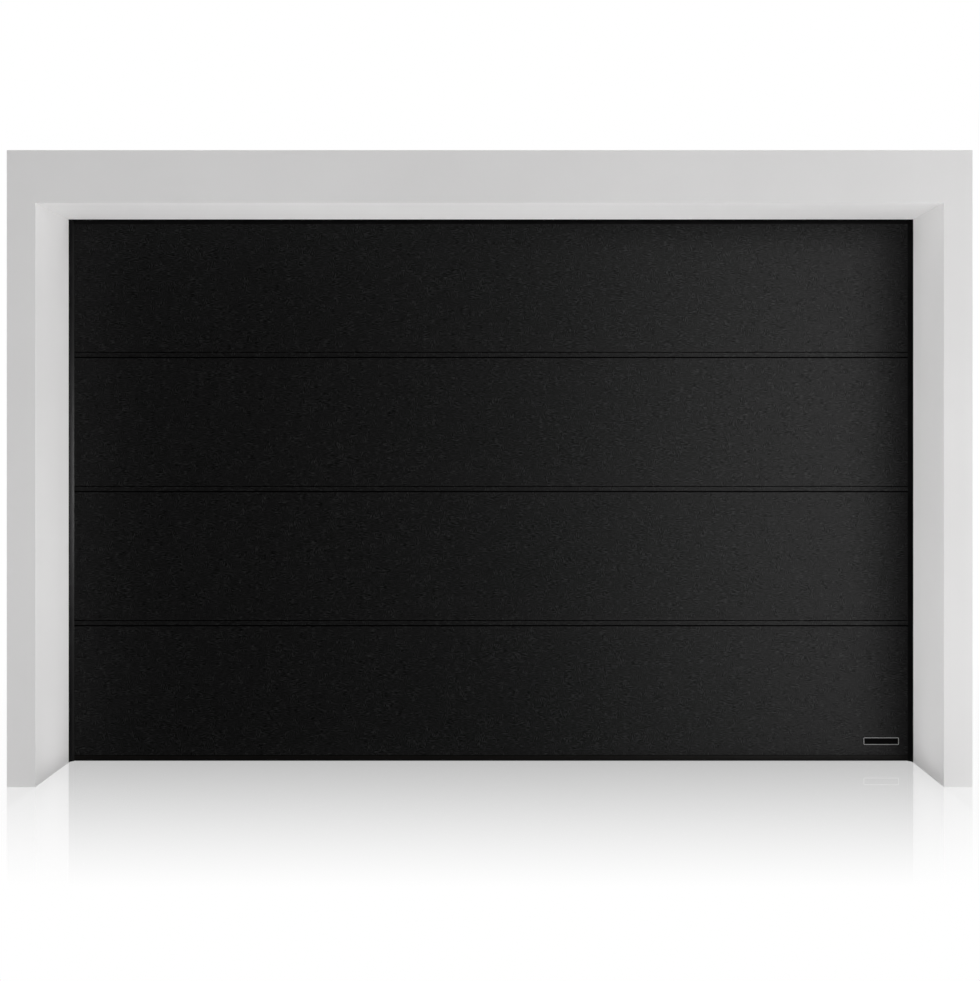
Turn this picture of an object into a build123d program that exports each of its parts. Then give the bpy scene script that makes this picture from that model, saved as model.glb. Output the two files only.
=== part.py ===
from build123d import *

import os
from math import cos, radians, sin, sqrt

# A sectional overhead garage door, closed, in a plain portal of wall.
# Four insulated steel sections are hinged one above the other. Rollers at their ends run in tracks
# that go up behind the wall, round a bend and back under the ceiling. Two coil springs on a shaft
# over the doorway carry the leaf's weight, through drums that wind two cables.
# Millimetres. X is to the right seen from outside, Y goes into the garage and Z is up. The origin is
# on the floor, half way between the piers, in the middle of the leaf's thickness.

# Doorway and wall
DOORWAY_WIDTH = 3500.0
DOORWAY_HEIGHT = 2250.0
WALL_THICKNESS = 350.0
PIER_WIDTH = 110.0
LINTEL_HEIGHT = 203.0

# Leaf and its sections
LEAF_THICKNESS = 40.0
LEAF_TO_WALL = 20.0
LEAF_OVERLAP = 15.0
SECTION_COUNT = 4
SECTION_PITCH = 558.0
FIRST_JOINT_Z = 564.0
JOINT_GAP = 4.0
INNER_JOINT_GAP = 2.0
JOINT_CLEARANCE = 0.8
FRONT_LEDGE = 10.0
INNER_LEDGE = 14.0
TONGUE_HEIGHT = 18.0
EDGE_CHAMFER = 1.5
CREASE_RISE = 21.0
CREASE_WIDTH = 3.0
CREASE_DEPTH = 2.0
RIB_COUNT = 5
RIB_WIDTH = 12.0
RIB_DEPTH = 1.5
CAP_SHEET = 1.5
CAP_FLANGE = 96.0
CAP_SETBACK = 4.0

# Bottom rail and rubber seals
FOOT_RUBBER = 8.0
RAIL_HEIGHT = 17.0
RAIL_WALL = 2.0
SEAL_SLOT_WIDTH = 8.0
SEAL_STEM_WIDTH = 4.0
SEAL_STEM_HEIGHT = 2.0
SEAL_HEAD_HEIGHT = 3.0
SEAL_SLOT_SPACING = 24.0
FOOT_INSET = 2.0
FOOT_CORNER = 2.5
SEAL_BASE = 3.0
SEAL_SET_BACK = 1.0
SEAL_LIP = 3.5
SEAL_REACH = 16.0
SEAL_BOW = 1.8
TOP_SEAL_WIDTH = 34.0
SEAT_CLEARANCE = 0.3

# Tracks and frame
TRACK_GAP = 5.0
TRACK_DEPTH = 27.0
TRACK_WIDTH = 52.0
TRACK_SHEET = 2.0
TRACK_LIP = 11.0
ROLLER_OFFSET = 30.0
CURVE_RADIUS = 300.0
TRACK_RISE = 60.0
TRACK_END_Y = 2650.0
FRAME_SHEET = 2.0
FRAME_DROP = 50.0
FRAME_MARGIN = 5.0
BRACKET_SHEET = 2.5
BRACKET_RISE = 10.0
BRACKET_TAIL = 70.0
BRACKET_HOLE = 34.0

# Rollers and the pieces that carry them
ROLLER_RADIUS = 23.0
ROLLER_WIDTH = 14.0
STEM_RADIUS = 5.5
STEM_CLEARANCE = 0.2
STEM_TAIL = 8.0
SLEEVE_WALL = 3.0
CARRIER_WIDTH = 62.0
CARRIER_INSET = 28.0
CARRIER_SHEET = 3.0
CARRIER_NOSE = 8.0
JOINT_ROLLER_RISE = 38.0
BOTTOM_ROLLER_Z = 80.0
TOP_ROLLER_ANGLE = 36.0
BOTTOM_PLATE_TOP = 135.0
TOP_PLATE_HEIGHT = 120.0
LUG_SHEET = 3.0
LUG_LOW_Z = 42.0
LUG_HIGH_Z = 122.0
STUD_Z = 75.0
STUD_RADIUS = 5.0
STUD_HEAD_RADIUS = 8.0
STUD_HEAD = 3.0

# Slim bars, sleeves and knuckles are prisms with this many sides
SLIM_SIDES = 14

# Hinges between the sections
HINGE_COUNT = 2
HINGE_SPACING = 1160.0
HINGE_WIDTH = 90.0
HINGE_LEAF_HEIGHT = 72.0
HINGE_SHEET = 2.5
HINGE_PIN_OFFSET = 6.0
BARREL_RADIUS = 5.5
PIN_RADIUS = 3.5
KNUCKLE_SHARE = 1 / 3
KNUCKLE_GAP = 0.5
LEAF_CORNER = 10.0

# Spring shaft, springs and drums
SHAFT_TO_WALL = 75.0
SHAFT_RADIUS = 12.7
SHAFT_CLEARANCE = 0.3
SHAFT_OVERHANG = 20.0
SPRING_LENGTH = 650.0
SPRING_RADIUS = 31.0
SPRING_WIRE = 7.0
CONE_PLUG = 40.0
FIXED_CONE_RADIUS = 37.0
FIXED_CONE_WIDTH = 18.0
WINDING_CONE_RADIUS = 30.0
WINDING_CONE_LENGTH = 42.0
WINDING_HOLE_RADIUS = 6.5
WINDING_HOLE_COUNT = 4
WINDING_HOLE_FLOOR = 3.0
CABLE_RADIUS = 2.0
CABLE_TO_LEAF = 11.0
CABLE_TO_WALL = 22.0
DRUM_WIDTH = 43.0
DRUM_FLANGE = 7.0
DRUM_FLANGE_WIDTH = 4.0
DRUM_RIM = 7.0
DRUM_WEB = 6.0
DRUM_HUB_RADIUS = 24.0
DRUM_HUB_LENGTH = 17.0
BEARING_SHEET = 3.0
BEARING_BOSS_RADIUS = 21.0
BEARING_BOSS_WIDTH = 9.0
BEARING_PLATE_HEIGHT = 110.0
BEARING_PLATE_GAP = 10.0
BEARING_NOSE = 36.0
BEARING_TO_DRUM = 12.0
CENTRE_FLANGE = 80.0

# Rear crossbar, hangers and stops
CROSSBAR_HEIGHT = 50.0
CROSSBAR_DEPTH = 40.0
CROSSBAR_SHEET = 2.5
CROSSBAR_LIP = 12.0
CROSSBAR_FROM_END = 10.0
HANGER_HEIGHT = 264.0
HANGER_LEG = 40.0
HANGER_SHEET = 3.0
HANGER_FOOT_WIDTH = 58.0
HANGER_FOOT_LENGTH = 90.0
HANGER_FOOT_SHEET = 4.0
HANGER_HOLE_RADIUS = 4.5
HANGER_HOLE_SPACING = 60.0
MIDDLE_HANGER_Y = 1300.0
BUMPER_LENGTH = 40.0
BUMPER_HEIGHT = 40.0

# Places worked out from the sizes above
leaf_front = -LEAF_THICKNESS / 2
leaf_rear = LEAF_THICKNESS / 2
wall_inner = leaf_front - LEAF_TO_WALL
wall_outer = wall_inner - WALL_THICKNESS
half_doorway = DOORWAY_WIDTH / 2
half_wall = half_doorway + PIER_WIDTH
half_leaf = half_doorway + LEAF_OVERLAP
cap_rear = leaf_rear + CAP_SHEET
rail_top = FOOT_RUBBER + RAIL_HEIGHT
joints = [FIRST_JOINT_Z + SECTION_PITCH * i for i in range(SECTION_COUNT - 1)]
leaf_top = DOORWAY_HEIGHT + LEAF_OVERLAP
pin_y = leaf_rear + HINGE_PIN_OFFSET

track_mouth = half_leaf + TRACK_GAP
track_back = track_mouth + TRACK_DEPTH
track_middle = (track_mouth + track_back) / 2
roller_y = leaf_rear + ROLLER_OFFSET
track_z = DOORWAY_HEIGHT + TRACK_RISE
track_top = track_z + TRACK_WIDTH / 2
curve_y = roller_y + CURVE_RADIUS
curve_z = track_z - CURVE_RADIUS
frame_top = curve_z - FRAME_DROP
flange_edge = half_wall - FRAME_MARGIN
bracket_top = track_z + BRACKET_RISE

shaft_y = wall_inner + SHAFT_TO_WALL
shaft_z = bracket_top + BEARING_PLATE_GAP + BEARING_PLATE_HEIGHT / 2
cable_x = half_leaf + CABLE_TO_LEAF
cable_y = wall_inner + CABLE_TO_WALL
drum_core = shaft_y - cable_y - CABLE_RADIUS
drum_middle = cable_x
bearing_x = drum_middle + DRUM_WIDTH / 2 + BEARING_TO_DRUM

carrier_outer = half_leaf - CARRIER_INSET
carrier_inner = carrier_outer - CARRIER_WIDTH
sleeve_radius = STEM_RADIUS + STEM_CLEARANCE + SLEEVE_WALL
top_roller_y = curve_y - CURVE_RADIUS * cos(radians(TOP_ROLLER_ANGLE))
top_roller_z = curve_z + CURVE_RADIUS * sin(radians(TOP_ROLLER_ANGLE))
roller_places = (
    [(roller_y, BOTTOM_ROLLER_Z)]
    + [(roller_y, z + JOINT_ROLLER_RISE) for z in joints]
    + [(top_roller_y, top_roller_z)]
)
hinge_places = [HINGE_SPACING * (i - (HINGE_COUNT - 1) / 2) for i in range(HINGE_COUNT)]
crossbar_y = TRACK_END_Y - CROSSBAR_FROM_END - CROSSBAR_DEPTH / 2
hanger_top = track_top + HANGER_HEIGHT


def save(part, label):
    """Labels a finished piece and writes it to its own file."""
    part.label = label
    export_step(part, f"parts/{label}.step")


def save_pair(part, label):
    """Writes a right-hand piece, and its mirror image as the left-hand one."""
    with BuildPart() as left:
        mirror(part, about=Plane.YZ)
    save(part, label + "_right")
    save(left.part, label + "_left")


def save_both(part, label):
    """Writes a right-hand piece and its mirror image together, as one node."""
    with BuildPart() as both:
        add(part)
        mirror(part, about=Plane.YZ)
    save(both.part, label)


def block(x, y, z):
    """Adds a box to the piece being built, given its low and high end on each axis."""
    middle = [(low + high) / 2 for low, high in (x, y, z)]
    with Locations(tuple(middle)):
        Box(x[1] - x[0], y[1] - y[0], z[1] - z[0])


def rod(x, y, z, radius, mode=Mode.ADD):
    """Adds a round bar along X, from the low to the high end of x, or cuts its hole."""
    with Locations(((x[0] + x[1]) / 2, y, z)):
        Cylinder(radius, x[1] - x[0], rotation=(0, 90, 0), mode=mode)


def slim_rod(x, y, z, radius, mode=Mode.ADD):
    """Adds a slim bar along X as a prism inside its round outline, or cuts such a hole.

    Bars and their holes are turned alike, so the clearance between them is even."""
    across = Plane(origin=(x[0], y, z), x_dir=(0, 1, 0), z_dir=(1, 0, 0))
    with BuildSketch(across) as outline:
        RegularPolygon(radius, SLIM_SIDES)
    extrude(outline.sketch, amount=x[1] - x[0], mode=mode)


def wall_pier():
    """The strip of wall beside the doorway, on the right."""
    with BuildPart() as pier:
        block((half_doorway, half_wall), (wall_outer, wall_inner), (0, DOORWAY_HEIGHT))
    return pier.part


def wall_lintel():
    """The strip of wall over the doorway, which rests on both piers."""
    with BuildPart() as lintel:
        block(
            (-half_wall, half_wall),
            (wall_outer, wall_inner),
            (DOORWAY_HEIGHT, DOORWAY_HEIGHT + LINTEL_HEIGHT),
        )
    return lintel.part


def swing_point(joint_z, radius, rise):
    """A point in front of the hinge pin of a joint, on a circle about that pin."""
    return (pin_y - sqrt(radius**2 - rise**2), joint_z + rise)


def groove_edge(joint_z):
    """The lower edge of a section, front to back: its skirt, the groove and the inner lip."""
    front = joint_z + JOINT_GAP / 2
    inner = joint_z + INNER_JOINT_GAP / 2
    depth = TONGUE_HEIGHT + JOINT_CLEARANCE
    radius = pin_y - leaf_front - FRONT_LEDGE + JOINT_CLEARANCE
    start = swing_point(joint_z, radius, JOINT_GAP / 2)
    end = swing_point(joint_z, radius, depth)
    wall = leaf_rear - INNER_LEDGE + JOINT_CLEARANCE
    Polyline((leaf_front, front), start)
    ThreePointArc(start, swing_point(joint_z, radius, depth / 2), end)
    Polyline(end, (wall, end[1]), (wall, inner), (leaf_rear, inner))


def tongue_edge(joint_z):
    """The upper edge of a section, back to front: the inner ledge, the tongue and the front ledge."""
    front = joint_z - JOINT_GAP / 2
    inner = joint_z - INNER_JOINT_GAP / 2
    radius = pin_y - leaf_front - FRONT_LEDGE
    start = swing_point(joint_z, radius, TONGUE_HEIGHT)
    end = swing_point(joint_z, radius, -JOINT_GAP / 2)
    wall = leaf_rear - INNER_LEDGE
    Polyline((leaf_rear, inner), (wall, inner), (wall, start[1]), start)
    ThreePointArc(start, swing_point(joint_z, radius, TONGUE_HEIGHT / 2), end)
    Polyline(end, (leaf_front + EDGE_CHAMFER, front), (leaf_front, front - EDGE_CHAMFER))


def door_section(index):
    """One insulated steel section. Its front has a crease along the foot and its back has ribs."""
    first, last = index == 0, index == SECTION_COUNT - 1
    low = rail_top if first else joints[index - 1] + JOINT_GAP / 2
    inner_low = rail_top if first else joints[index - 1] + INNER_JOINT_GAP / 2
    high = leaf_top if last else joints[index] - JOINT_GAP / 2 - EDGE_CHAMFER
    inner_high = leaf_top if last else joints[index] - INNER_JOINT_GAP / 2
    half = half_leaf - CAP_SHEET
    with BuildPart() as section:
        with BuildSketch(Plane.YZ.offset(-half)) as outline:
            with BuildLine():
                if first:
                    Line((leaf_front, low), (leaf_rear, low))
                else:
                    groove_edge(joints[index - 1])
                Line((leaf_rear, inner_low), (leaf_rear, inner_high))
                if last:
                    Line((leaf_rear, high), (leaf_front, high))
                else:
                    tongue_edge(joints[index])
                Line((leaf_front, high), (leaf_front, low))
            make_face()
            if not first:
                crease = joints[index - 1] + CREASE_RISE
                with BuildLine():
                    Polyline(
                        (leaf_front, crease - CREASE_WIDTH / 2),
                        (leaf_front + CREASE_DEPTH, crease),
                        (leaf_front, crease + CREASE_WIDTH / 2),
                        close=True,
                    )
                make_face(mode=Mode.SUBTRACT)
            spacing = (inner_high - inner_low) / (RIB_COUNT + 1)
            for rib in range(RIB_COUNT):
                with Locations((leaf_rear, inner_low + spacing * (rib + 1))):
                    Trapezoid(
                        RIB_WIDTH, 2 * RIB_DEPTH, 60, rotation=90, mode=Mode.SUBTRACT
                    )
        extrude(amount=2 * half)
    return section.part


def end_caps():
    """The folded sheet on the right-hand end of every section, where the hinges are screwed."""
    lows = [rail_top] + joints
    highs = joints + [leaf_top]
    with BuildPart() as caps:
        for low, high in zip(lows, highs):
            z = (low + CAP_SETBACK, high - CAP_SETBACK)
            block((half_leaf - CAP_SHEET, half_leaf), (leaf_front + CAP_SHEET, cap_rear), z)
            block((half_leaf - CAP_FLANGE, half_leaf - CAP_SHEET), (leaf_rear, cap_rear), z)
    return caps.part


def bottom_rail():
    """The hollow aluminium rail under the lowest section, with two slots that hold its rubber."""
    with BuildPart() as rail:
        with BuildSketch(Plane.YZ.offset(-half_leaf)):
            with Locations((0, FOOT_RUBBER + RAIL_HEIGHT / 2)):
                Rectangle(LEAF_THICKNESS, RAIL_HEIGHT)
            low = FOOT_RUBBER + 2 * RAIL_WALL + SEAL_HEAD_HEIGHT
            high = rail_top - RAIL_WALL
            with Locations((0, (low + high) / 2)):
                Rectangle(LEAF_THICKNESS - 2 * RAIL_WALL, high - low, mode=Mode.SUBTRACT)
            for side in (-1, 1):
                seal_slot(side * SEAL_SLOT_SPACING / 2, 0)
        extrude(amount=2 * half_leaf)
    return rail.part


def seal_slot(y, clearance):
    """The T-shaped slot in the rail, or the rubber's barb that sits in it with a clearance."""
    mode = Mode.ADD if clearance else Mode.SUBTRACT
    stem_low, stem_high = FOOT_RUBBER - clearance, FOOT_RUBBER + SEAL_STEM_HEIGHT + clearance
    head_low = FOOT_RUBBER + SEAL_STEM_HEIGHT + clearance
    head_high = FOOT_RUBBER + SEAL_STEM_HEIGHT + SEAL_HEAD_HEIGHT - clearance
    with Locations((y, (stem_low + stem_high) / 2)):
        Rectangle(SEAL_STEM_WIDTH - 2 * clearance, stem_high - stem_low, mode=mode)
    with Locations((y, (head_low + head_high) / 2)):
        Rectangle(SEAL_SLOT_WIDTH - 2 * clearance, head_high - head_low, mode=mode)


def bottom_seal():
    """The rubber strip that closes the gap to the floor, hung in the rail's slots."""
    with BuildPart() as seal:
        with BuildSketch(Plane.YZ.offset(-half_leaf)):
            with Locations((0, FOOT_RUBBER / 2)):
                RectangleRounded(LEAF_THICKNESS - 2 * FOOT_INSET, FOOT_RUBBER, FOOT_CORNER)
            for side in (-1, 1):
                seal_slot(side * SEAL_SLOT_SPACING / 2, SEAT_CLEARANCE)
        extrude(amount=2 * half_leaf)
    return seal.part


def lip_outline(reveal, base_end):
    """Draws a rubber strip against the wall whose lip leans over to the leaf's face.

    Each point is a distance from the middle of the doorway and one into the garage."""
    root = (reveal + SEAL_SET_BACK, wall_inner)
    tip_y = leaf_front - SEAT_CLEARANCE
    tip = (reveal - SEAL_REACH, tip_y)
    heel = (reveal - SEAL_REACH + SEAL_LIP, tip_y)
    corner = (reveal + SEAL_SET_BACK + SEAL_LIP, wall_inner + SEAL_BASE)
    front_middle = ((root[0] + tip[0]) / 2 + SEAL_BOW, (root[1] + tip[1]) / 2 + SEAL_BOW)
    back_middle = (
        (heel[0] + corner[0]) / 2 + SEAL_BOW,
        (heel[1] + corner[1]) / 2 + SEAL_BOW,
    )
    ThreePointArc(root, front_middle, tip)
    Line(tip, heel)
    ThreePointArc(heel, back_middle, corner)
    Polyline(corner, (base_end, wall_inner + SEAL_BASE), (base_end, wall_inner), root)


def side_seal():
    """The rubber lip seal along the right-hand pier, which covers the edge of the leaf."""
    with BuildPart() as seal:
        with BuildSketch(Plane.XY):
            with BuildLine():
                lip_outline(half_doorway, track_back - SEAT_CLEARANCE)
            make_face()
        extrude(amount=DOORWAY_HEIGHT + TOP_SEAL_WIDTH)
    return seal.part


def top_seal():
    """The same lip seal along the lintel, between the two side seals."""
    half = half_doorway - SEAL_REACH - SEAT_CLEARANCE
    across = Plane(origin=(half, 0, 0), x_dir=(0, 0, 1), z_dir=(-1, 0, 0))
    with BuildPart() as seal:
        with BuildSketch(across):
            with BuildLine():
                lip_outline(DOORWAY_HEIGHT, DOORWAY_HEIGHT + TOP_SEAL_WIDTH)
            make_face()
        extrude(amount=2 * half)
    return seal.part


def track_profile(across):
    """The C-shaped section of a track. Its mouth faces the leaf and across is the rollers' line."""
    with Locations((track_middle, across)):
        Rectangle(TRACK_DEPTH, TRACK_WIDTH)
        Rectangle(
            TRACK_DEPTH - 2 * TRACK_SHEET, TRACK_WIDTH - 2 * TRACK_SHEET, mode=Mode.SUBTRACT
        )
    with Locations((track_mouth + TRACK_SHEET / 2, across)):
        Rectangle(TRACK_SHEET, TRACK_WIDTH - 2 * TRACK_LIP, mode=Mode.SUBTRACT)


def vertical_track():
    """The track that stands on the floor beside the leaf, on the right."""
    with BuildPart() as track:
        with BuildSketch(Plane.XY):
            track_profile(roller_y)
        extrude(amount=curve_z)
    return track.part


def curved_track():
    """The quarter bend from the standing track to the one under the ceiling."""
    with BuildPart() as track:
        with BuildSketch(Plane.XY.offset(curve_z)):
            track_profile(roller_y)
        revolve(axis=Axis((0, curve_y, curve_z), (-1, 0, 0)), revolution_arc=90)
    return track.part


def horizontal_track():
    """The straight track under the ceiling, where the open leaf hangs."""
    with BuildPart() as track:
        with BuildSketch(Plane.XZ.offset(-curve_y)):
            track_profile(track_z)
        extrude(amount=curve_y - TRACK_END_Y)
    return track.part


def side_frame():
    """The steel angle that holds the standing track to the pier."""
    web_end = roller_y + TRACK_WIDTH / 2
    with BuildPart() as frame:
        block(
            (track_back, track_back + FRAME_SHEET), (wall_inner, web_end), (0, frame_top)
        )
        block(
            (track_back + FRAME_SHEET, flange_edge),
            (wall_inner, wall_inner + FRAME_SHEET),
            (0, frame_top),
        )
    return frame.part


def corner_bracket():
    """The gusset at the bend, which ties the tracks to the wall beside the doorway's head."""
    web_end = roller_y + TRACK_WIDTH / 2
    tail = curve_y + BRACKET_TAIL
    track_low = track_z - TRACK_WIDTH / 2
    with BuildPart() as bracket:
        with BuildSketch(Plane.YZ.offset(track_back)):
            with BuildLine():
                Polyline(
                    (wall_inner, frame_top),
                    (web_end, frame_top),
                    (web_end, curve_z + TRACK_WIDTH),
                    (curve_y - TRACK_WIDTH, track_low - TRACK_WIDTH / 2),
                    (tail, track_low),
                    (tail, track_top),
                    (curve_y - TRACK_WIDTH, track_top),
                    (web_end, bracket_top),
                    (wall_inner, bracket_top),
                    close=True,
                )
            make_face()
            hole_y = (wall_inner + web_end) / 2
            with Locations((hole_y, bracket_top - 2 * BRACKET_HOLE)):
                Circle(BRACKET_HOLE, mode=Mode.SUBTRACT)
            with Locations((curve_y - 2 * TRACK_WIDTH, track_z - TRACK_WIDTH)):
                Circle(BRACKET_HOLE / 2, mode=Mode.SUBTRACT)
        extrude(amount=BRACKET_SHEET)
        block(
            (track_back + BRACKET_SHEET, flange_edge),
            (wall_inner, wall_inner + BRACKET_SHEET),
            (frame_top, bracket_top),
        )
    return bracket.part


def roller_wheels():
    """The five plastic wheels in the right-hand track."""
    inner = track_middle - ROLLER_WIDTH / 2
    with BuildPart() as wheels:
        for y, z in roller_places:
            with BuildSketch(Plane(origin=(inner, y, z), x_dir=(0, 1, 0), z_dir=(1, 0, 0))):
                Circle(ROLLER_RADIUS)
                RegularPolygon(STEM_RADIUS + STEM_CLEARANCE, SLIM_SIDES, mode=Mode.SUBTRACT)
            extrude(amount=ROLLER_WIDTH)
    return wheels.part


def roller_stems():
    """The steel stems of the right-hand rollers, from their sleeves out to the wheels."""
    with BuildPart() as stems:
        for y, z in roller_places:
            slim_rod(
                (carrier_inner - STEM_TAIL, track_middle + ROLLER_WIDTH / 2),
                y,
                z,
                STEM_RADIUS,
            )
    return stems.part


def sleeve_carrier(plate_y, y, z, plate_low, plate_high):
    """Adds the sleeve of a roller stem, and two cheeks that reach out to it from a plate."""
    x = (carrier_inner, carrier_outer)
    slim_rod(x, y, z, sleeve_radius)
    for low in (x[0], x[1] - CARRIER_SHEET):
        with BuildSketch(Plane.YZ.offset(low)) as cheek:
            with BuildLine():
                Polyline(
                    (plate_y, plate_low),
                    (y, z - sleeve_radius),
                    (y + CARRIER_NOSE, z - sleeve_radius / 2),
                    (y + CARRIER_NOSE, z + sleeve_radius / 2),
                    (y, z + sleeve_radius),
                    (plate_y, plate_high),
                    close=True,
                )
            make_face()
        extrude(cheek.sketch, amount=CARRIER_SHEET)
    slim_rod(x, y, z, STEM_RADIUS + STEM_CLEARANCE, Mode.SUBTRACT)


def side_hinges():
    """The hinges at the right-hand ends of the three joints, each with a sleeve for its roller."""
    x = (carrier_inner, carrier_outer)
    plate = cap_rear + HINGE_SHEET
    with BuildPart() as hinges:
        for joint_z in joints:
            block(x, (cap_rear, plate), (joint_z - HINGE_LEAF_HEIGHT, joint_z))
            block(x, (cap_rear, plate), (joint_z, joint_z + HINGE_LEAF_HEIGHT))
            slim_rod(x, pin_y, joint_z, BARREL_RADIUS)
            z = joint_z + JOINT_ROLLER_RISE
            sleeve_carrier(
                plate, roller_y, z, z - 2 * sleeve_radius, joint_z + HINGE_LEAF_HEIGHT
            )
    return hinges.part


def bottom_bracket():
    """The right-hand foot bracket: a sleeve for the lowest roller and a stud for the cable."""
    plate = cap_rear + CARRIER_SHEET
    with BuildPart() as bracket:
        block((carrier_inner, half_leaf), (cap_rear, plate), (rail_top, BOTTOM_PLATE_TOP))
        block(
            (half_leaf, half_leaf + LUG_SHEET), (leaf_front, plate), (LUG_LOW_Z, LUG_HIGH_Z)
        )
        sleeve_carrier(
            plate,
            roller_y,
            BOTTOM_ROLLER_Z,
            BOTTOM_ROLLER_Z - 2 * sleeve_radius,
            BOTTOM_ROLLER_Z + 2 * sleeve_radius,
        )
        head = cable_x + CABLE_RADIUS + STUD_HEAD
        slim_rod((half_leaf + LUG_SHEET, head), cable_y, STUD_Z, STUD_RADIUS)
        slim_rod((head, head + STUD_HEAD), cable_y, STUD_Z, STUD_HEAD_RADIUS)
    return bracket.part


def top_roller_carrier():
    """The bracket at the leaf's upper corner, whose roller sits in the bend of the track."""
    plate = cap_rear + CARRIER_SHEET
    low = top_roller_z - TOP_PLATE_HEIGHT / 2
    high = top_roller_z + TOP_PLATE_HEIGHT / 2
    with BuildPart() as carrier:
        block((carrier_inner, carrier_outer), (cap_rear, plate), (low, high))
        sleeve_carrier(plate, top_roller_y, top_roller_z, low + CARRIER_NOSE, high)
    return carrier.part


def knuckles(lower):
    """The stretches of barrel along X that one leaf of a hinge holds: two outer, or the middle."""
    half, middle = HINGE_WIDTH / 2, HINGE_WIDTH * KNUCKLE_SHARE / 2
    if lower:
        return [(-half, -middle - KNUCKLE_GAP), (middle + KNUCKLE_GAP, half)]
    return [(-middle, middle)]


def hinge_leaves(lower):
    """The lower or the upper leaves of all the middle hinges, on the backs of the sections.

    The pin is riveted into the lower leaf and turns in the upper one."""
    sign = -1 if lower else 1
    half = HINGE_WIDTH / 2
    with BuildPart() as leaves:
        for joint_z in joints:
            near = joint_z + sign * (BARREL_RADIUS + KNUCKLE_GAP)
            far = joint_z + sign * HINGE_LEAF_HEIGHT
            for centre in hinge_places:
                with BuildSketch(Plane.XZ.offset(-leaf_rear)):
                    with BuildLine():
                        Polyline(
                            (centre - half, near),
                            (centre + half, near),
                            (centre + half, far - sign * LEAF_CORNER),
                            (centre + half - LEAF_CORNER, far),
                            (centre - half + LEAF_CORNER, far),
                            (centre - half, far - sign * LEAF_CORNER),
                            close=True,
                        )
                    make_face()
                extrude(amount=-HINGE_SHEET)
                for low, high in knuckles(lower):
                    x = (centre + low, centre + high)
                    block(x, (leaf_rear, leaf_rear + HINGE_SHEET), sorted((joint_z, near)))
                    slim_rod(x, pin_y, joint_z, BARREL_RADIUS)
                pin = (centre - half, centre + half)
                if lower:
                    slim_rod(pin, pin_y, joint_z, PIN_RADIUS)
                else:
                    slim_rod(pin, pin_y, joint_z, PIN_RADIUS + STEM_CLEARANCE, Mode.SUBTRACT)
    return leaves.part


def spring_shaft():
    """The solid shaft over the doorway, on which springs and drums sit."""
    end = bearing_x + BEARING_SHEET + SHAFT_OVERHANG
    with BuildPart() as shaft:
        rod((-end, end), shaft_y, shaft_z, SHAFT_RADIUS)
    return shaft.part


def fixed_cone_start():
    """Where the right-hand fixed cone begins, against the centre bracket."""
    return BEARING_SHEET / 2


def spring_start():
    """Where the right-hand spring begins, against the collar of its fixed cone."""
    return fixed_cone_start() + FIXED_CONE_WIDTH


def torsion_spring():
    """The right-hand spring. Its coils lie close together, so it is the tube that they fill."""
    x = (spring_start(), spring_start() + SPRING_LENGTH)
    with BuildPart() as spring:
        rod(x, shaft_y, shaft_z, SPRING_RADIUS)
        rod(x, shaft_y, shaft_z, SPRING_RADIUS - SPRING_WIRE, Mode.SUBTRACT)
    return spring.part


def spring_cones():
    """The cast cones that grip the right-hand spring's ends: one fixed, one that winds it up."""
    start, end = spring_start(), spring_start() + SPRING_LENGTH
    plug = SPRING_RADIUS - SPRING_WIRE - SEAT_CLEARANCE
    hole_x = end + WINDING_CONE_LENGTH / 2
    with BuildPart() as cones:
        rod((fixed_cone_start(), start), shaft_y, shaft_z, FIXED_CONE_RADIUS)
        slim_rod((start, start + CONE_PLUG), shaft_y, shaft_z, plug)
        slim_rod((end - CONE_PLUG, end), shaft_y, shaft_z, plug)
        rod((end, end + WINDING_CONE_LENGTH), shaft_y, shaft_z, WINDING_CONE_RADIUS)
        bore = SHAFT_RADIUS + SHAFT_CLEARANCE
        rod((fixed_cone_start(), end + WINDING_CONE_LENGTH), shaft_y, shaft_z, bore, Mode.SUBTRACT)
        for turn in range(WINDING_HOLE_COUNT):
            angle = radians(360 / WINDING_HOLE_COUNT * turn + 45)
            out = Vector(0, cos(angle), sin(angle))
            floor = bore + WINDING_HOLE_FLOOR
            socket = Plane(origin=Vector(hole_x, shaft_y, shaft_z) + out * floor, z_dir=out)
            with BuildSketch(socket):
                RegularPolygon(WINDING_HOLE_RADIUS, SLIM_SIDES)
            extrude(amount=WINDING_CONE_RADIUS, mode=Mode.SUBTRACT)
    return cones.part


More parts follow.
